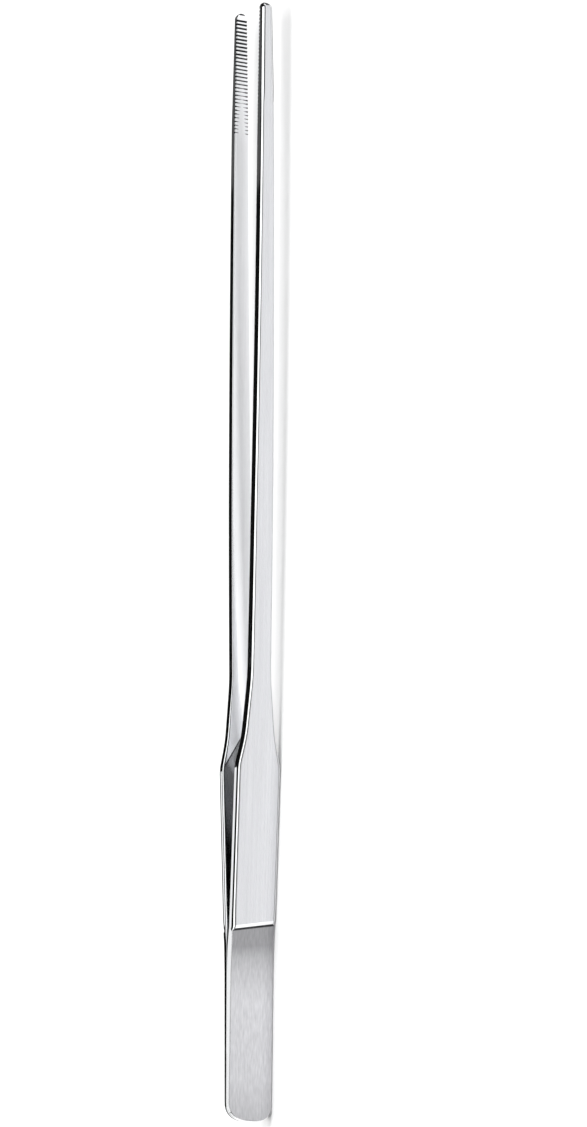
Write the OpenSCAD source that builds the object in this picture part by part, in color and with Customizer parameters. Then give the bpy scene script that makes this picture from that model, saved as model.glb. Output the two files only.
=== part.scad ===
// Straight aquascaping tweezers: two ground stainless arms, fusion-welded round the butt.
// They lie on one edge. +X runs from the butt to the tips, the arms spread along Y,
// and +Z runs across the width of the arms. The origin is under the middle of the box.
// Stations x are counted from the butt, and place() moves them to the frame's origin.

/* [Arms] */
// Length from the butt to the tips
overall_length = 270; // [255:5:285]
// Width of the tail and the handle
handle_width = 11.9; // [10:0.1:13]
// Thickness of the handle and the leg
arm_thickness = 2.15; // [1.9:0.05:2.6]
// Thickness of the leg where it ends
tip_thickness = 1.7; // [1.4:0.05:1.9]

/* [Tail] */
// Thickness of each plate just below the step, where it is ground thin
tail_thickness = 1.65; // [1.3:0.05:1.8]
// Thickness of each plate at the butt
butt_thickness = 0.95; // [0.9:0.05:1.3]
// Station of the step between the tail and the handle, at mid-width
step_station = 45.85; // [42:0.05:52]
// Slant of the step across the width, in degrees
step_slant = 10; // [0:1:15]
// Station where each arm flexes
flex_station = 37; // [33:1:38]

/* [Butt] */
// Length of the rounded end
butt_round = 4.6; // [3:0.1:6]
// Roundness exponent of the end, where 2 is an ellipse
butt_power = 2.5; // [2:0.1:3]
// Length of the weld seam along each edge
weld_length = 17; // [8:1:22]
// Depth of the weld seam into the plates
weld_depth = 0.7; // [0.4:0.1:1]
// Width of the weld seam across the joint between the plates
weld_width = 0.9; // [0.5:0.1:1.2]

/* [Shoulder] */
// Station of the corner where the handle starts to narrow
shoulder_station = 83.5; // [75:0.5:90]
// Narrowing of each side after the corner, in mm per mm
shoulder_slope = 0.23; // [0.15:0.01:0.23]
// Narrowing of each side in the second stretch, in mm per mm
neck_slope = 0.10; // [0.08:0.01:0.11]

/* [Legs] */
// Narrowing of each side of the upper leg, in mm per mm
leg_slope = 0.0046; // [0.003:0.0001:0.005]
// Narrowing of each side of the lower leg, in mm per mm
lower_leg_slope = 0.0083; // [0.006:0.0001:0.01]
// Narrowing of each side of the jaw, in mm per mm
jaw_slope = 0.016; // [0.012:0.001:0.02]

/* [Spread] */
// Slope of the handle away from the mid-plane, in mm per mm
handle_spread = 0.056; // [0.05:0.001:0.06]
// Slope of the leg just past the shoulder
leg_spread = 0.031; // [0.025:0.001:0.035]
// Slope of the jaw back towards the mid-plane
jaw_spread = 0; // [0:0.001:0.004]

/* [Serrations] */
// Number of cross grooves in each jaw
groove_count = 31; // [10:1:31]
// Distance between the grooves
groove_pitch = 0.936; // [0.8:0.001:1]
// Depth of the groove nearest the tip
groove_depth = 0.34; // [0.2:0.02:0.4]
// Depth of the groove furthest from the tip
last_groove_depth = 0.16; // [0.06:0.02:0.2]
// Distance from the tip to the first groove
first_groove = 1.95; // [1.8:0.05:2.5]

/* [Hidden] */

// Clearance between a tail and its arm where the flexure is split
flex_clearance = 0.05;
// Length over which the plates bend apart at the flexure
flex_bend = 8;
// Room given to cutting shapes beyond the faces they cut
margin = 1;
half_handle = handle_width / 2;
jaw_station = overall_length - 25;
leg_bend_station = overall_length - 30;
lower_leg_station = 146;
// Length of the rounding at the end of each tip, in the outline of its broad face
tip_round = 1.5;
// Length of the rounding at the end of each tip, across its thickness
nose_round = 1.9;
// Part of the tip thickness that stays square at the end
nose_square = 0.35;
// Half-width of the mouth of the groove nearest the tip
groove_mouth = 0.3;
// Half-width of the mouth of the groove furthest from the tip
last_groove_mouth = 0.19;
steel = [0.78, 0.79, 0.81];
ground_steel = [0.70, 0.71, 0.73];
weld_steel = [0.60, 0.60, 0.62];

// Offset at x after the slope has changed by one, evenly from station a to station b
function bend(x, a, b) =
    x <= a ? 0 :
    x >= b ? x - (a + b) / 2 :
    pow(x - a, 2) / (2 * (b - a));

// Half of the arm's width at station x
function half_width(x) =
    half_handle
    - shoulder_slope * bend(x, shoulder_station - 1.5, shoulder_station + 1.5)
    + (shoulder_slope - neck_slope) * bend(x, shoulder_station + 4.5, shoulder_station + 9.5)
    + (neck_slope - leg_slope) * bend(x, shoulder_station + 18.5, shoulder_station + 24.5)
    - (lower_leg_slope - leg_slope) * bend(x, lower_leg_station - 6, lower_leg_station + 6)
    - (jaw_slope - lower_leg_slope) * bend(x, jaw_station - 5, jaw_station + 5);

// Distance of the arm's inner face from the mid-plane at station x
function inner(x) =
    handle_spread * bend(x, flex_station - flex_bend / 2, flex_station + flex_bend / 2)
    - (handle_spread - leg_spread) * bend(x, shoulder_station + 0.5, shoulder_station + 8.5)
    - (leg_spread + jaw_spread) * bend(x, shoulder_station + 8.5, leg_bend_station);

// Thickness of the handle and leg at station x
function thickness(x) =
    arm_thickness
    - (arm_thickness - tip_thickness) * bend(x, jaw_station - 8, jaw_station + 8)
    / (overall_length - jaw_station);

function outer(x) = inner(x) + thickness(x);

// Thickness of the ground plate at station x, up to the step
function plate(x) =
    butt_thickness + (tail_thickness - butt_thickness) * min(x / step_station, 1);

// Stations from one place to another, close together only where the faces curve
function stations(from, to) = concat(
    [from],
    [for (x = [flex_station - flex_bend / 2 : 2 : flex_station + flex_bend / 2])
        if (x > from && x < to) x],
    [for (x = [shoulder_station - 2 : 1 : shoulder_station + 25]) if (x > from && x < to) x],
    [for (x = [shoulder_station + 30 : 8 : jaw_station - 10]) if (x > from && x < to) x],
    [for (x = [jaw_station - 6 : 3 : overall_length - 3]) if (x > from && x < to) x],
    [to]
);

function reversed(points) = [for (i = [len(points) - 1 : -1 : 0]) points[i]];

// The same outline points on the other side of the mid-width line
function other_side(points) = [for (p = reversed(points)) [p[0], -p[1]]];

// Upper half of the butt's rounded end, drawn inwards by inset
function butt_curve(inset) = [
    for (t = [0 : 7.5 : 90])
        [inset + (butt_round - inset) * (1 - pow(cos(t), 2 / butt_power)),
         (half_handle - inset) * pow(sin(t), 2 / butt_power)]
];

// Upper half of the tip's rounded end, seen across the broad face
function tip_curve() = [
    for (t = [0 : 10 : 90])
        [overall_length - tip_round * (1 - sin(t)),
         half_width(overall_length - tip_round) * cos(t)]
];

// Nose of the tip, seen on edge, from the outer face round to the end
function nose_curve() =
    let (rear = overall_length - nose_round,
         drop = thickness(rear) - nose_square)
    [for (t = [0 : 10 : 90]) [rear + nose_round * sin(t), outer(rear) - drop * (1 - cos(t))]];

// Inner face of the jaw from the tip backwards, with its cross grooves
function jaw_points() = [
    for (i = [0 : groove_count - 1], side = [1, 0, -1])
        let (share = i / (groove_count - 1),
             depth = groove_depth + (last_groove_depth - groove_depth) * share,
             mouth = groove_mouth + (last_groove_mouth - groove_mouth) * share,
             x = overall_length - first_groove - i * groove_pitch + side * mouth)
        [x, inner(x) + (side == 0 ? depth : 0)]
];

// Moves a solid from the butt's stations to the frame's origin
module place() {
    translate([-overall_length / 2, 0, 0])
        children();
}

// Makes a plate of an outline drawn in stations and widths, centred on the mid-plane
module across(depth) {
    translate([0, depth / 2, half_handle])
        rotate([90, 0, 0])
            linear_extrude(height = depth)
                children();
}

// Makes a block of an outline drawn in stations and spread, over the whole width
module along_width() {
    translate([0, 0, -margin])
        linear_extrude(height = handle_width + 2 * margin)
            children();
}

// Region outside the tail's thin plates and behind the slanted step
module step_relief() {
    reach = step_station + 2 * margin;
    high = 2 * half_handle;
    lean = tan(step_slant) * high;
    intersection() {
        along_width()
            polygon(concat(
                [for (x = stations(flex_station - margin, reach)) [x, inner(x) + plate(x)]],
                [[reach, high], [flex_station - margin, high]]
            ));
        across(2 * high)
            polygon([
                [flex_station - 2 * margin, -high],
                [step_station + lean, -high],
                [step_station - lean, high],
                [flex_station - 2 * margin, high]
            ]);
    }
}

// The arm from the flexure to the tip, on the +Y side
module arm() {
    rear = flex_station + flex_clearance / 2;
    jaw_rear = overall_length - first_groove - groove_count * groove_pitch;
    chamfer = nose_square / 2;
    inner_stations = reversed(stations(rear, jaw_rear));
    outline = [for (x = stations(rear, overall_length - tip_round - 0.1)) [x, half_width(x)]];
    upper_half = concat(outline, tip_curve());
    difference() {
        intersection() {
            along_width()
                polygon(concat(
                    [for (x = stations(rear, overall_length - nose_round - 0.1)) [x, outer(x)]],
                    nose_curve(),
                    [[overall_length, inner(overall_length) + chamfer]],
                    [[overall_length - chamfer, inner(overall_length)]],
                    jaw_points(),
                    [for (x = inner_stations) [x, inner(x)]]
                ));
            across(4 * half_handle)
                polygon(concat(upper_half, other_side(upper_half)));
        }
        step_relief();
    }
}

// The thin plate from the butt to the flexure, on the +Y side
module tail() {
    front = flex_station - flex_clearance / 2;
    upper_half = concat(butt_curve(0), [[front, half_handle]]);
    outside = handle_width;
    difference() {
        intersection() {
            along_width()
                polygon(concat(
                    [for (x = stations(0, front)) [x, inner(x)]],
                    [for (x = reversed(stations(0, front))) [x, inner(x) + plate(x)]]
                ));
            across(4 * half_handle)
                polygon(concat(upper_half, other_side(upper_half)));
        }
        across(weld_width)
            difference() {
                translate([-margin, -outside / 2 - margin])
                    square([weld_length + margin, outside + 2 * margin]);
                weld_core();
            }
    }
}

// Outline that the weld seam runs round
module weld_core() {
    upper_half = concat(
        butt_curve(weld_depth),
        [[weld_length + margin, half_handle - weld_depth]]
    );
    polygon(concat(upper_half, other_side(upper_half)));
}

module front_arm() {
    color(steel)
        place()
            mirror([0, 1, 0])
                arm();
}

module back_arm() {
    color(steel)
        place()
            arm();
}

module front_tail() {
    color(ground_steel)
        place()
            mirror([0, 1, 0])
                tail();
}

module back_tail() {
    color(ground_steel)
        place()
            tail();
}

// Fusion weld ground flush with the edges of both plates
module butt_weld() {
    upper_half = concat(butt_curve(0), [[weld_length, half_handle]]);
    color(weld_steel)
        place()
            across(weld_width)
                difference() {
                    polygon(concat(upper_half, other_side(upper_half)));
                    weld_core();
                }
}

front_arm();
back_arm();
front_tail();
back_tail();
butt_weld();
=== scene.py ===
"""Straight aquascaping tweezers, lying on one edge on a pale studio floor."""

import math

import bmesh
import bpy
import numpy as np
from mathutils import Matrix, Vector


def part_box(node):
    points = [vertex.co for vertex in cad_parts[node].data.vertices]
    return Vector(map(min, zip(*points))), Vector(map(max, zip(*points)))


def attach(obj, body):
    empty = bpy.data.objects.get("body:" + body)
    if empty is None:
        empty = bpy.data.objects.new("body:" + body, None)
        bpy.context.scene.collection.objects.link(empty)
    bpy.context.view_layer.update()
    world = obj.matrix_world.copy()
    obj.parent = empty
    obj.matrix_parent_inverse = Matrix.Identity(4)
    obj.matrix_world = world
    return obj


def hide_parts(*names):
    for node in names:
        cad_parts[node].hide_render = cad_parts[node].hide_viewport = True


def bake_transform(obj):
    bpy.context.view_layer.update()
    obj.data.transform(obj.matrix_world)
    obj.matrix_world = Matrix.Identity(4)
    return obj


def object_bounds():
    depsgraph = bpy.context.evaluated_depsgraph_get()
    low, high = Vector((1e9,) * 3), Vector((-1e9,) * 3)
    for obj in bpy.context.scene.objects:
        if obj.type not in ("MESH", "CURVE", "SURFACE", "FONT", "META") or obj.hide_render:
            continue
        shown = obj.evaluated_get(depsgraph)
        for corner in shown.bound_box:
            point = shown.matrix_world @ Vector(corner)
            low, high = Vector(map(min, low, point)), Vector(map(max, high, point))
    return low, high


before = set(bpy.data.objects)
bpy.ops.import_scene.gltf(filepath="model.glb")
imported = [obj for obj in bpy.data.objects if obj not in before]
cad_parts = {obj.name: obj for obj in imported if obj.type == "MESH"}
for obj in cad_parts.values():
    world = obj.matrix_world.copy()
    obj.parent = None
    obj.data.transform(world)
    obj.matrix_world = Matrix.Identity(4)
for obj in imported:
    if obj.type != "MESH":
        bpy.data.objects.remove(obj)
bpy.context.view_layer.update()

MM = 0.001
BACK, FRONT = 1, -1

# ---------------------------------------------------------------- sizes, in millimetres
LOW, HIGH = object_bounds()
LENGTH = (HIGH.x - LOW.x) / MM
BUTT_X = LOW.x / MM
TAIL_LOW, TAIL_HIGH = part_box("back_tail")
HALF_HANDLE = (TAIL_HIGH.z - TAIL_LOW.z) / 2 / MM
MID_Z = (TAIL_HIGH.z + TAIL_LOW.z) / 2 / MM
ARM_THICKNESS = 2.15
TIP_THICKNESS = 1.7
TAIL_THICKNESS = 1.65
BUTT_THICKNESS = 0.95

FLEX_STATION = (TAIL_HIGH.x - LOW.x) / MM
FLEX_BEND = 8
STEP_STATION = 45.85
STEP_SLANT = math.tan(math.radians(10))
SHOULDER = 83.5
LOWER_LEG = 146
JAW = LENGTH - 25
LEG_BEND = LENGTH - 30

BUTT_ROUND = 4.6
BUTT_POWER = 2.5
TIP_ROUND = 1.5
NOSE_ROUND = 1.9
NOSE_SQUARE = 0.35

# Narrowing of each side, in mm per mm, from the shoulder to the jaw
SHOULDER_SLOPE = 0.23
NECK_SLOPE = 0.10
LEG_SLOPE = 0.0046
LOWER_LEG_SLOPE = 0.0083
JAW_SLOPE = 0.016
# Slope of the inner face away from the mid-plane, in mm per mm
HANDLE_SPREAD = 0.056
LEG_SPREAD = 0.031

GROOVES = 31
GROOVE_PITCH = 0.936
FIRST_GROOVE = 1.95
GROOVE_STEPS = 14


def bend(x, a, b):
    """Offset at x after the slope has changed by one, evenly from station a to station b."""
    x = np.asarray(x, float)
    return np.where(x <= a, 0, np.where(x >= b, x - (a + b) / 2, (x - a) ** 2 / (2 * (b - a))))


def blend_in(x, a, b):
    """Rises smoothly from 0 at station a to 1 at station b."""
    t = np.clip((np.asarray(x, float) - a) / (b - a), 0, 1)
    return t * t * (3 - 2 * t)


def half_width(x):
    return (
        HALF_HANDLE
        - SHOULDER_SLOPE * bend(x, SHOULDER - 1.5, SHOULDER + 1.5)
        + (SHOULDER_SLOPE - NECK_SLOPE) * bend(x, SHOULDER + 4.5, SHOULDER + 9.5)
        + (NECK_SLOPE - LEG_SLOPE) * bend(x, SHOULDER + 18.5, SHOULDER + 24.5)
        - (LOWER_LEG_SLOPE - LEG_SLOPE) * bend(x, LOWER_LEG - 6, LOWER_LEG + 6)
        - (JAW_SLOPE - LOWER_LEG_SLOPE) * bend(x, JAW - 5, JAW + 5)
    )


def inner_face(x):
    return (
        HANDLE_SPREAD * bend(x, FLEX_STATION - FLEX_BEND / 2, FLEX_STATION + FLEX_BEND / 2)
        - (HANDLE_SPREAD - LEG_SPREAD) * bend(x, SHOULDER + 0.5, SHOULDER + 8.5)
        - LEG_SPREAD * bend(x, SHOULDER + 8.5, LEG_BEND)
    )


def arm_thickness(x):
    thinning = (ARM_THICKNESS - TIP_THICKNESS) / (LENGTH - JAW)
    return ARM_THICKNESS - thinning * bend(x, JAW - 8, JAW + 8)


def tail_thickness(x):
    return BUTT_THICKNESS + (TAIL_THICKNESS - BUTT_THICKNESS) * np.clip(x / STEP_STATION, 0, 1)


def nose_share(x):
    """Share of the arm's thickness that is left at station x in the rounded nose."""
    square = NOSE_SQUARE / TIP_THICKNESS
    t = np.clip((x - (LENGTH - NOSE_ROUND)) / NOSE_ROUND, 0, 1)
    return square + (1 - square) * np.sqrt(1 - t * t)


# ---------------------------------------------------------------- the step between tail and handle
STEP_WALL = 0.35
STEP_ROUND = 1.1
STEP_ROUND_LENGTH = 0.7


def plate_thickness(x):
    """Thickness across the slanted step, where x is measured square to the step's line."""
    past = x - STEP_STATION
    short = np.clip(STEP_ROUND_LENGTH - past, 0, STEP_ROUND_LENGTH)
    crest = arm_thickness(x) - (STEP_ROUND - np.sqrt(STEP_ROUND**2 - short**2))
    foot = arm_thickness(x) - (STEP_ROUND - math.sqrt(STEP_ROUND**2 - STEP_ROUND_LENGTH**2))
    tail = tail_thickness(x)
    wall = tail + (foot - tail) * np.clip(1 + past / STEP_WALL, 0, 1)
    return np.where(past >= 0, crest, wall)


def step_shear(x):
    """How far the cross sections lean along the arm, per mm of width, to follow the slanted step."""
    near = blend_in(x, STEP_STATION - 14, STEP_STATION - 1)
    return STEP_SLANT * near * (1 - blend_in(x, STEP_STATION + 1, STEP_STATION + 14))


# ---------------------------------------------------------------- edges of the strip
def edge_round(x):
    """Width, height and power of the rounding on the outer edges at station x. Power 2 is an ellipse."""
    handle = blend_in(x, STEP_STATION - 0.6, STEP_STATION + 0.1)
    leg = blend_in(x, SHOULDER + 4, SHOULDER + 26)
    jaw = blend_in(x, JAW - 2, JAW + 3)
    width = 0.08 + 0.67 * handle - 0.13 * leg + 0.2 * jaw
    height = 0.08 + 1.12 * handle - 0.55 * leg + 0.1 * jaw
    power = 2 - 0.5 * leg
    return width, height, power


# How far the outer edges of the tail fall away from the joint between the plates
CROWN = 0.2


def inner_round(x):
    """Rounding of the inner edges, which are sharp where the two plates meet."""
    handle = blend_in(x, STEP_STATION - 4, STEP_STATION + 2)
    return 0.05 + 0.45 * handle - 0.28 * blend_in(x, SHOULDER + 4, SHOULDER + 26)


def edge_fall(x, y):
    """How far the edges of the tail fall away from the middle joint, where both plates are ground as one."""
    return CROWN * (1 - blend_in(x, STEP_STATION - 4, STEP_STATION + 4)) * (np.abs(y) / TAIL_THICKNESS) ** 1.2


def cap_angles(count):
    return np.radians(np.linspace(0, 90, count))


def outline():
    """The +Z edge from the butt to the tip: station, half-width and outward direction."""
    t = cap_angles(15)[:-1]
    power = 2 / BUTT_POWER
    butt_x = BUTT_ROUND * (1 - np.cos(t) ** power)
    butt_z = HALF_HANDLE * np.sin(t) ** power
    butt_n = np.stack(
        [
            -((1 - butt_x / BUTT_ROUND) ** (BUTT_POWER - 1)) / BUTT_ROUND,
            (butt_z / HALF_HANDLE) ** (BUTT_POWER - 1) / HALF_HANDLE,
        ],
        1,
    )
    x = side_stations()
    slope = (half_width(x + 0.05) - half_width(x - 0.05)) / 0.1
    side_n = np.stack([-slope, np.ones_like(x)], 1)
    t = cap_angles(13)[1:]
    tip_half = half_width(LENGTH - TIP_ROUND)
    tip_x = LENGTH - TIP_ROUND * (1 - np.sin(t))
    tip_z = tip_half * np.cos(t)
    tip_n = np.stack([np.sin(t) / TIP_ROUND, np.cos(t) / tip_half], 1)
    stations = np.concatenate([butt_x, x, tip_x])
    halves = np.concatenate([butt_z, half_width(x), tip_z])
    normals = np.concatenate([butt_n, side_n, tip_n])
    return stations, halves, normals / np.linalg.norm(normals, axis=1, keepdims=True)


def groove_stations():
    """Middle of each cross groove, from the tip backwards, a little uneven as cut by hand."""
    uneven = np.random.default_rng(11).normal(0, 0.02, GROOVES)
    return LENGTH - FIRST_GROOVE - GROOVE_PITCH * np.arange(GROOVES) + uneven


def side_stations():
    """Stations along the straight-sided part, close together where the surface turns."""
    even = np.arange(BUTT_ROUND, LENGTH - TIP_ROUND, 2.0)
    step = STEP_STATION + np.array(
        [-4, -2.5, -1.5, -0.9, -0.5, -0.3, -0.23, -0.2, -0.17, -0.1, -0.03, 0, 0.03, 0.1,
         0.2, 0.3, 0.4, 0.5, 0.6, 0.67, 0.7, 0.73, 0.85, 1.1, 1.6, 2.4, 3.5]
    )
    shoulder = np.arange(SHOULDER - 3, SHOULDER + 26, 0.6)
    around = np.linspace(-1, 1, GROOVE_STEPS, endpoint=False) * GROOVE_PITCH / 2
    grooves = (groove_stations()[:, None] + around).ravel()
    found = np.sort(np.concatenate([even, step, shoulder, grooves, [LENGTH - TIP_ROUND]]))
    keep = np.concatenate([[True], np.diff(found) > 0.02])
    return found[keep]


# Depth and half-width of the groove nearest the tip, and of the one furthest from it
GROOVE_DEPTHS = (0.34, 0.16)
GROOVE_MOUTHS = (0.3, 0.19)


def groove_cut(x, across):
    """Depth of the cross grooves at station x, where across is 0 at mid-width and 1 at an edge."""
    depth = np.zeros_like(x)
    for i, middle in enumerate(groove_stations()):
        share = i / (GROOVES - 1)
        sizes = (GROOVE_DEPTHS, GROOVE_MOUTHS)
        full, mouth = (first + (last - first) * share for first, last in sizes)
        fade = blend_in(share, 0.15, 0.95)
        here = full * (1 - fade * (1 - across**2))
        depth = np.maximum(depth, here * np.clip(1 - np.abs(x - middle) / mouth, 0, 1))
    return depth


# ---------------------------------------------------------------- the strip as a mesh
FACE_SHARES = np.array([-1, -0.975, -0.8, -0.5, -0.2, 0.2, 0.5, 0.8, 0.975, 1])
CORNER_STEPS = 8
EDGE_SHARES = np.array([0.12, 0.4, 0.7, 0.9])
INNER_SHARES = np.array([0, 0.1, 0.2, 0.3, 0.4, 0.5, 0.6, 0.7, 0.8, 0.9, 0.975, 1])
INNER_SHARES = np.concatenate([-INNER_SHARES[:0:-1], INNER_SHARES])
FACE_CROWN = 0.03


def section():
    """One turn round the strip's section. Each point has a zone, a side of the mid-width line and a share."""
    points = [("outer", 0, share) for share in FACE_SHARES]
    corner = np.linspace(0, 1, CORNER_STEPS + 1)[1:]
    inner_corner = np.linspace(0, 1, CORNER_STEPS // 2 + 1)
    for side in (1, -1):
        rise = [("corner", side, share) for share in corner]
        rise += [("edge", side, share) for share in EDGE_SHARES]
        rise += [("inner_corner", side, share) for share in inner_corner[:-1]]
        if side == 1:
            points += rise
            points += [("inner", 0, share) for share in INNER_SHARES[::-1]]
        else:
            points += rise[::-1]
    return points


def strip_points(facing):
    """Every point of one arm, station by station, as an array of stations x section x 3."""
    stations, halves, normals = outline()
    ring = section()
    points = np.zeros((len(stations), len(ring), 3))
    wide, high, power = edge_round(stations)
    sharp = inner_round(stations)
    for k, (zone, side, share) in enumerate(ring):
        angle = abs(share) * math.pi / 2
        inset = {
            "outer": wide,
            "corner": wide * (1 - math.sin(angle) ** (2 / power)),
            "edge": 0 * wide,
            "inner_corner": sharp * (1 - math.cos(angle)),
            "inner": sharp,
        }[zone]
        edge_x = stations - normals[:, 0] * inset
        edge_z = halves - normals[:, 1] * inset
        x = edge_x
        z = edge_z * (side if side else share)
        shear = step_shear(stations)
        square_x = x
        x = x - shear * z
        across = np.clip(np.abs(z) / np.maximum(halves, 0.5), 0, 1)
        left = nose_share(x)
        inner = inner_face(x)
        cut = groove_cut(x, across) if zone in ("inner", "inner_corner", "edge") else 0
        top = inner + plate_thickness(square_x) * left - FACE_CROWN * (z / HALF_HANDLE) ** 2
        bottom = inner + (1 - left) * 0.2
        drop = high * left
        lift = sharp * left
        if zone == "outer":
            y = top
        elif zone == "corner":
            y = top - drop * (1 - max(math.cos(angle), 0) ** (2 / power))
        elif zone == "edge":
            y = (top - drop) * (1 - share) + (bottom + lift) * share + cut * share**3
        elif zone == "inner_corner":
            y = bottom + cut + lift * (1 - math.sin(angle))
        else:
            y = bottom + cut
        fall = edge_fall(stations, y)
        x = x - normals[:, 0] * fall
        z = z - normals[:, 1] * fall * (side if side else share)
        points[:, k] = np.stack([x + BUTT_X, facing * y, z + MID_Z], 1)
    return points, ring


def smooth(obj):
    for polygon in obj.data.polygons:
        polygon.use_smooth = True


def closed_mesh(name, points, materials, choose):
    """A closed mesh from rings of points whose first and last rings fold flat onto themselves."""
    count, around = points.shape[:2]
    data = bpy.data.meshes.new(name)
    i, k = np.meshgrid(np.arange(count - 1), np.arange(around), indexing="ij")
    j = (k + 1) % around
    quads = np.stack([i * around + k, i * around + j, (i + 1) * around + j, (i + 1) * around + k], -1)
    data.from_pydata((points.reshape(-1, 3) * MM).tolist(), [], quads.reshape(-1, 4).tolist())
    along = np.concatenate([[0], np.cumsum(np.linalg.norm(np.diff(points[:, 0], axis=0), axis=1))])
    closed = np.concatenate([points, points[:, :1]], axis=1)
    turn = np.cumsum(np.linalg.norm(np.diff(closed, axis=1), axis=2), axis=1)
    round_it = points[:, :1, 2] + np.concatenate([np.zeros((count, 1)), turn], axis=1)
    ends = [(i, k), (i, k + 1), (i + 1, k + 1), (i + 1, k)]
    corners = np.stack([np.stack([along[a], round_it[a, b]], -1) for a, b in ends], 2)
    uv = data.uv_layers.new(name="brush")
    uv.data.foreach_set("uv", (corners * MM).ravel())
    for material in materials:
        data.materials.append(material)
    data.polygons.foreach_set("material_index", choose(i, k).ravel().astype(np.int32))
    obj = bpy.data.objects.new(name, data)
    bpy.context.scene.collection.objects.link(obj)
    tidy(obj)
    return obj


def tidy(obj):
    """Joins the points that meet at the two ends and turns every face outwards."""
    mesh = bmesh.new()
    mesh.from_mesh(obj.data)
    bmesh.ops.remove_doubles(mesh, verts=mesh.verts, dist=0.0005 * MM)
    bmesh.ops.dissolve_degenerate(mesh, edges=mesh.edges, dist=0.0002 * MM)
    bmesh.ops.recalc_face_normals(mesh, faces=mesh.faces)
    loose = [edge for edge in mesh.edges if len(edge.link_faces) != 2]
    if loose:
        print(obj.name, "has", len(loose), "edges that don't join two faces")
    mesh.to_mesh(obj.data)
    mesh.free()
    smooth(obj)


# ---------------------------------------------------------------- materials
def new_material(name, **sockets):
    """A Principled material, its node tree and its shader, with plain numbers set on the shader."""
    material = bpy.data.materials.new(name)
    material.use_nodes = True
    tree = material.node_tree
    shader = tree.nodes["Principled BSDF"]
    for socket, value in sockets.items():
        shader.inputs[socket.replace("_", " ")].default_value = value
    return material, tree, shader


def streaks(tree, along, across, detail=3.0, seed=0.0):
    """Noise drawn out along the brushing. along and across are features per metre."""
    uv = tree.nodes.new("ShaderNodeUVMap")
    uv.uv_map = "brush"
    stretch = tree.nodes.new("ShaderNodeMapping")
    stretch.inputs["Scale"].default_value = (along, across, 1)
    stretch.inputs["Location"].default_value = (seed, seed * 1.7, seed * 0.3)
    noise = tree.nodes.new("ShaderNodeTexNoise")
    noise.inputs["Scale"].default_value = 1.0
    noise.inputs["Detail"].default_value = detail
    tree.links.new(uv.outputs["UV"], stretch.inputs["Vector"])
    tree.links.new(stretch.outputs["Vector"], noise.inputs["Vector"])
    return noise.outputs["Fac"]


def ranged(tree, value, low, high, from_low=0.25, from_high=0.75):
    """The noise value spread evenly from low to high."""
    spread = tree.nodes.new("ShaderNodeMapRange")
    spread.inputs["From Min"].default_value = from_low
    spread.inputs["From Max"].default_value = from_high
    spread.inputs["To Min"].default_value = low
    spread.inputs["To Max"].default_value = high
    tree.links.new(value, spread.inputs["Value"])
    return spread.outputs["Result"]


def tinted(tree, value, dark, light):
    """A colour between dark and light."""
    mix = tree.nodes.new("ShaderNodeMix")
    mix.data_type = "RGBA"
    mix.inputs["A"].default_value = (*dark, 1)
    mix.inputs["B"].default_value = (*light, 1)
    tree.links.new(value, mix.inputs["Factor"])
    return mix.outputs["Result"]


def raised(tree, shader, height, distance):
    bump = tree.nodes.new("ShaderNodeBump")
    bump.inputs["Strength"].default_value = 1.0
    bump.inputs["Distance"].default_value = distance
    tree.links.new(height, bump.inputs["Height"])
    tree.links.new(bump.outputs["Normal"], shader.inputs["Normal"])


def steel(name, dark, light, rough, brush_depth, along, across):
    """Brushed stainless steel. rough is the lowest and highest roughness."""
    material, tree, shader = new_material(name, Metallic=1.0)
    fine = streaks(tree, along, across)
    broad = streaks(tree, along * 0.5, across * 0.3, 3.0, seed=3.0)
    tree.links.new(tinted(tree, ranged(tree, broad, 0, 1), dark, light), shader.inputs["Base Color"])
    tree.links.new(ranged(tree, fine, rough[0], rough[1]), shader.inputs["Roughness"])
    raised(tree, shader, fine, brush_depth * MM)
    return material


BRUSHED = steel("brushed_steel", (0.57, 0.575, 0.595), (0.645, 0.65, 0.67), (0.22, 0.32), 0.004, 60, 9000)
# Polished edges: smoother than the brushed faces, and with a base colour brighter than real steel, which is a
# painted highlight.
POLISHED = steel("polished_edge_painted_highlight", (0.90, 0.91, 0.92), (0.93, 0.94, 0.95), (0.04, 0.09), 0.0003, 60, 6000)
# Painted shade: a dark grey copy of the steel, for thin lines along face borders, the butt rim and shallow
# grooves.
LINE = steel("painted_shade_edge_line", (0.28, 0.28, 0.29), (0.38, 0.38, 0.39), (0.20, 0.30), 0.0010, 60, 6000)
# Painted shade: a near-black copy of the steel, put where there is only shadow or dark reflection.
SHADED = steel("painted_shade_steel", (0.03, 0.03, 0.033), (0.06, 0.06, 0.063), (0.35, 0.5), 0.004, 800, 800)
# The weld is as smooth and as bright as the polished edge, so its brightness is partly a painted highlight.
WELD = steel("weld_steel", (0.84, 0.85, 0.86), (0.90, 0.91, 0.92), (0.05, 0.11), 0.0005, 800, 3000)


def times(tree, shader, shade):
    """Multiplies the shader's base colour by a shade."""
    product = tree.nodes.new("ShaderNodeMix")
    product.data_type = "RGBA"
    product.blend_type = "MULTIPLY"
    product.inputs["Factor"].default_value = 1.0
    tree.links.new(shader.inputs["Base Color"].links[0].from_socket, product.inputs["A"])
    tree.links.new(shade, product.inputs["B"])
    tree.links.new(product.outputs["Result"], shader.inputs["Base Color"])


# Station, lean and blur of the slanted line up to which the back arm's inner face gets painted shade, a
# painted reflection of the front arm.
PAINTED_SHADE_EDGE = 83.3
PAINTED_SHADE_EDGE_LEAN = 1.6
PAINTED_SHADE_EDGE_REACH = 4


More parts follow.
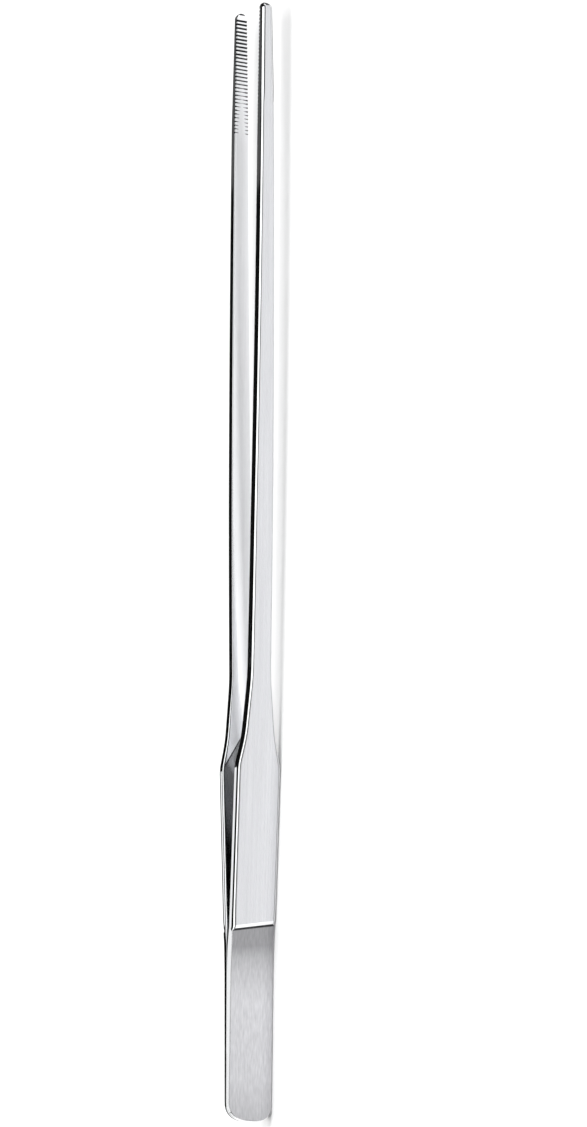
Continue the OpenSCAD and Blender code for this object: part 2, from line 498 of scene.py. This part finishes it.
def shades(tree, value, stops):
    """A grey shade that runs through the stops, which are pairs of a place from 0 to 1 and a shade."""
    ramp = tree.nodes.new("ShaderNodeValToRGB")
    elements = ramp.color_ramp.elements
    for _ in stops[2:]:
        elements.new(0.5)
    for element, (place, shade) in zip(elements, stops):
        element.position = place
        element.color = (shade, shade, shade, 1)
    tree.links.new(value, ramp.inputs["Fac"])
    return ramp.outputs["Color"]


def inner_steel(name, painted_handle_shade):
    """The inner faces, brightened with painted light on the legs and jaws. The handle may be left dark with
    painted shade up to a pointed line.
    """
    # Painted light: a base colour near white, brighter than the outer steel, in place of the shade between
    # the arms.
    material = steel(name, (0.90, 0.905, 0.925), (0.96, 0.965, 0.98), (0.08, 0.14), 0.002, 60, 9000)
    tree = material.node_tree
    shader = tree.nodes["Principled BSDF"]
    place = tree.nodes.new("ShaderNodeTexCoord")
    parts = tree.nodes.new("ShaderNodeSeparateXYZ")
    tree.links.new(place.outputs["Object"], parts.inputs["Vector"])

    def maths(operation, first, second):
        node = tree.nodes.new("ShaderNodeMath")
        node.operation = operation
        tree.links.new(first, node.inputs[0])
        if isinstance(second, float):
            node.inputs[1].default_value = second
        else:
            tree.links.new(second, node.inputs[1])
        return node.outputs[0]

    along_leg = ranged(tree, parts.outputs["X"], 0, 1, BUTT_X * MM, -BUTT_X * MM)
    # Painted light: full brightness up to the shoulder and on the jaws, 0.82 on the middle of the legs.
    legs = ((0.0, 1.0), (0.36, 1.0), (0.52, 0.82), (0.88, 0.82), (0.93, 1.0))
    times(tree, shader, shades(tree, along_leg, legs))
    if not painted_handle_shade:
        return material
    # Painted shade: the handle is dark up to a slanted line near the shoulder, a painted reflection of the
    # front arm.
    off_middle = maths("SUBTRACT", parts.outputs["Z"], MID_Z * MM)
    lean = maths("MULTIPLY", maths("ABSOLUTE", off_middle, 0.0), PAINTED_SHADE_EDGE_LEAN)
    line = maths("ADD", parts.outputs["X"], lean)
    start = (BUTT_X + PAINTED_SHADE_EDGE + PAINTED_SHADE_EDGE_LEAN * float(half_width(PAINTED_SHADE_EDGE))) * MM
    reach = PAINTED_SHADE_EDGE_REACH * MM / 2
    across_line = ranged(tree, line, 0, 1, start - reach, start + reach)
    handle_painted_shade = ((0.0, 0.45), (0.36, 0.40), (0.42, 0.06), (0.5, 0.06), (0.54, 1.0))
    times(tree, shader, shades(tree, across_line, handle_painted_shade))
    return material


BACK_INNER = inner_steel("back_inner_steel", True)
FRONT_INNER = inner_steel("front_inner_steel", False)


def ground_steel():
    """The ground tail. It is darkest just below the step, which is painted shade, and a little darker again
    at the butt.
    """
    material = steel("ground_steel", (0.49, 0.49, 0.51), (0.65, 0.65, 0.67), (0.26, 0.40), 0.010, 800, 8500)
    tree = material.node_tree
    uv = tree.nodes.new("ShaderNodeUVMap")
    uv.uv_map = "brush"
    parts = tree.nodes.new("ShaderNodeSeparateXYZ")
    tree.links.new(uv.outputs["UV"], parts.inputs["Vector"])
    along = ranged(tree, parts.outputs["X"], 0, 1, 0, STEP_STATION * MM)
    # Painted shade just below the step; a little darker again at the butt.
    tail = ((0.0, 0.74), (0.12, 0.80), (0.3, 0.95), (0.7, 1.0), (0.84, 0.86), (0.93, 0.74), (1.0, 0.52))
    times(tree, tree.nodes["Principled BSDF"], shades(tree, along, tail))
    return material


GROUND = ground_steel()


def floor_material():
    material, tree, shader = new_material("pale_floor", Roughness=0.6)
    shader.inputs["Base Color"].default_value = (0.9, 0.9, 0.9, 1)
    return material


# ---------------------------------------------------------------- the two strips
BRUSHED_SLOT, INNER_SLOT, POLISHED_SLOT, GROUND_SLOT, LINE_SLOT, SHADED_SLOT = range(6)


# Depths past which a groove gets painted shade, first grey and then dark
SHALLOW_CUT, DEEP_CUT = 0.03, 0.07
# Length of the dark line of painted shade at the foot of the step
STEP_SHADE = 0.25
# Length of the dark cap of painted shade at the very tip
TIP_LINE = 0.3
# Length of the back plate's dark edge of painted shade round the butt
BUTT_LINE = 3.0
# Length of the grey rim of painted shade on the tail's face at the butt
BUTT_RIM = 0.2


def strip_slots(ring, stations, back, i, k):
    """The material of each face, from its station and its place in the section."""
    zones = np.array([zone for zone, _, _ in ring])
    shares = np.array([abs(share) for _, _, share in ring])
    here, there = zones[k], zones[(k + 1) % len(ring)]
    middle = (stations[i] + stations[i + 1]) / 2
    across = np.where(here == "inner", (shares[k] + shares[(k + 1) % len(ring)]) / 2, 1.0)
    outer = (here == "outer") & (there == "outer")
    inner = (here == "inner") & (there == "inner")
    slots = np.where(outer, BRUSHED_SLOT, np.where(inner, INNER_SLOT, POLISHED_SLOT))
    # Painted shade: grey lines where the face meets the rounded corner, along the face's rim and round the
    # butt.
    meets = ((here == "outer") & (there == "corner")) | ((here == "corner") & (there == "outer"))
    rim = outer & (np.minimum(shares[k], shares[(k + 1) % len(ring)]) > 0.9)
    rim = rim | (outer & (middle < BUTT_RIM))
    slots = np.where(meets | rim, LINE_SLOT, slots)
    past = middle - STEP_STATION
    # Painted highlight: the rounded crest above the step gets the bright polished steel.
    slots = np.where(outer & (past > 0) & (past < STEP_ROUND_LENGTH), POLISHED_SLOT, slots)
    slots = np.where(outer & ~rim & (past < -STEP_WALL), GROUND_SLOT, slots)
    # Painted shade: a dark line at the foot of the step.
    slots = np.where(outer & (past > -STEP_WALL - STEP_SHADE) & (past < 0), SHADED_SLOT, slots)
    near_inner = (here == "inner") | (there == "inner") | (here == "inner_corner")
    cut = np.where(near_inner, groove_cut(middle, across), 0)
    # Painted shade in the grooves: grey where they are shallow, dark where they are deep.
    slots = np.where(cut > SHALLOW_CUT, LINE_SLOT, slots)
    slots = np.where(cut > DEEP_CUT, SHADED_SLOT, slots)
    # Painted shade: a dark line along the lower edge of the jaw.
    corner = (here == "corner") & (shares[k] > 0.4)
    lower = np.array([side for _, side, _ in ring])[k] < 0
    slots = np.where(corner & lower & (middle > JAW), SHADED_SLOT, slots)
    # Painted shade: a dark outline round the rounded tip.
    slots = np.where((corner | (here == "edge")) & (middle > LENGTH - TIP_ROUND), SHADED_SLOT, slots)
    # Painted shade: the back plate's edges round the butt.
    slots = np.where(back & ~outer & ~inner & (middle < BUTT_LINE), SHADED_SLOT, slots)
    # Painted shade: a dark cap at the very end of the tip.
    return np.where(middle > LENGTH - TIP_LINE, SHADED_SLOT, slots)


def strip(facing):
    side = "back" if facing == BACK else "front"
    points, ring = strip_points(facing)
    stations, _, _ = outline()
    back = facing == BACK
    materials = [BRUSHED, BACK_INNER if back else FRONT_INNER, POLISHED, GROUND, LINE, SHADED]

    def choose(i, k):
        return strip_slots(ring, stations, back, i, k)

    obj = closed_mesh(side + "_strip", points, materials, choose)
    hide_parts(side + "_arm", side + "_tail")
    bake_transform(obj)


strip(BACK)
strip(FRONT)


# ---------------------------------------------------------------- the weld round the butt
WELD_END = 17
WELD_HALF = 0.3
WELD_DEPTH = 0.5
WELD_PROUD = 0.008
WELD_SECTION = [
    (0, -1), (0.9, -1), (1, -0.8), (1, 0.85), (0.94, 0.97), (0.86, 1), (0.5, 1), (0.2, 1),
    (0, 1), (-0.2, 1), (-0.5, 1), (-0.86, 1), (-0.94, 0.97), (-1, 0.85), (-1, -0.8), (-0.9, -1),
]


def weld_seam():
    """A bead ground nearly flush with both plates, from one edge round the butt to the other."""
    stations, halves, normals = outline()
    keep = stations <= WELD_END
    stations, halves, normals = stations[keep], halves[keep], normals[keep]
    path = np.concatenate([np.stack([stations, halves], 1)[::-1], np.stack([stations, -halves], 1)[1:]])
    out = np.concatenate([normals[::-1], (normals * (1, -1))[1:]])
    walked = np.concatenate([[0], np.cumsum(np.linalg.norm(np.diff(path, axis=0), axis=1))])
    even = np.arange(0, walked[-1], 0.125)
    path = np.stack([np.interp(even, walked, path[:, j]) for j in (0, 1)], 1)
    out = np.stack([np.interp(even, walked, out[:, j]) for j in (0, 1)], 1)
    from_end = np.minimum(even, even[-1] - even)
    size = np.sqrt(np.clip(1 - (1 - np.clip(from_end / 1.2, 0, 1)) ** 2, 0, 1))
    ripple = 0.003 * np.sin(2 * math.pi * even / 0.5) + 0.003 * np.sin(2 * math.pi * even / 1.3)
    share, rise = np.array(WELD_SECTION).T
    y = WELD_HALF * size[:, None] * share
    along = WELD_PROUD - WELD_DEPTH / 2 + (WELD_DEPTH / 2 * size + ripple * size)[:, None] * rise
    along = along - edge_fall(path[:, :1], y)
    x = path[:, :1] + out[:, :1] * along
    z = path[:, 1:] + out[:, 1:] * along
    points = np.stack([x + BUTT_X, y + 0 * x, z + MID_Z], 2)
    obj = closed_mesh("weld_seam", points, [WELD], lambda i, k: np.zeros_like(i))
    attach(obj, "butt")
    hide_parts("butt_weld")


weld_seam()


# ---------------------------------------------------------------- floor, lights and camera
def floor():
    size = 4.0
    bpy.ops.mesh.primitive_plane_add(size=size, location=(0, 0, 0))
    obj = bpy.context.object
    obj.name = "floor"
    obj.data.materials.append(floor_material())


def soft_box(name, tilt, distance, length, height, radiance, station=0.0, mirrored=True, lights_floor=True):
    """A soft light along the arms. tilt is its angle above the floor, from the front round to the back."""
    angle = math.radians(tilt)
    out = Vector((0, -math.cos(angle), math.sin(angle)))
    data = bpy.data.lights.new(name, "AREA")
    data.shape = "RECTANGLE"
    data.size = length
    data.size_y = height
    data.energy = radiance * math.pi * length * height
    obj = bpy.data.objects.new(name, data)
    bpy.context.scene.collection.objects.link(obj)
    right = Vector((1, 0, 0))
    place = Matrix.Translation(out * distance + right * station)
    obj.matrix_world = place @ Matrix((right, out.cross(right), out)).transposed().to_4x4()
    obj.visible_camera = False
    obj.visible_glossy = mirrored
    obj.visible_diffuse = lights_floor


def studio():
    world = bpy.data.worlds.new("studio")
    bpy.context.scene.world = world
    world.use_nodes = True
    world.node_tree.nodes["Background"].inputs["Color"].default_value = (0.005, 0.005, 0.005, 1)
    soft_box("front_soft_box", 51, 0.9, 1.8, 0.74, 1.5)
    soft_box("back_soft_box", 135.5, 0.35, 0.4, 0.21, 0.95, -0.1607, lights_floor=False)
    soft_box("butt_soft_box", 166, 0.35, 0.4, 0.2, 0.95, -0.36, lights_floor=False)
    soft_box("tip_soft_box", 135.5, 0.35, 0.2, 0.21, 0.08, 0.29, lights_floor=False)
    soft_box("fill_soft_box", 90, 1.2, 1.8, 1.0, 3.75, mirrored=False)


# Directions of the camera in degrees, and its distance and the height it sees in metres
CAMERA_TURN = 13.9
CAMERA_TILT = 30
CAMERA_LEAN = 0.195
CAMERA_DISTANCE = 1.6
CAMERA_SEES = 0.26718824


def camera():
    """The camera looks down at the front arm and is rolled, so that the tips point up."""
    turned, raised_by, lean = (math.radians(a) for a in (CAMERA_TURN, CAMERA_TILT, CAMERA_LEAN))
    level = math.cos(raised_by)
    look = Vector((level * math.sin(turned), level * math.cos(turned), -math.sin(raised_by)))
    up = Vector((1, 0, 0)) - look * look.x
    up.normalize()
    right = look.cross(up)
    right, up = (
        right * math.cos(lean) + up * math.sin(lean),
        up * math.cos(lean) - right * math.sin(lean),
    )
    aim = (LOW + HIGH) / 2 + right * 0.01012 - up * 0.0019
    data = bpy.data.cameras.new("camera")
    data.sensor_width = 36
    data.lens = data.sensor_width * CAMERA_DISTANCE / CAMERA_SEES
    data.clip_end = 20
    obj = bpy.data.objects.new("camera", data)
    bpy.context.scene.collection.objects.link(obj)
    turn = Matrix((right, up, -look)).transposed().to_4x4()
    obj.matrix_world = Matrix.Translation(aim - look * CAMERA_DISTANCE) @ turn
    bpy.context.scene.camera = obj


floor()
studio()
camera()
bpy.context.scene.view_settings.view_transform = "Standard"
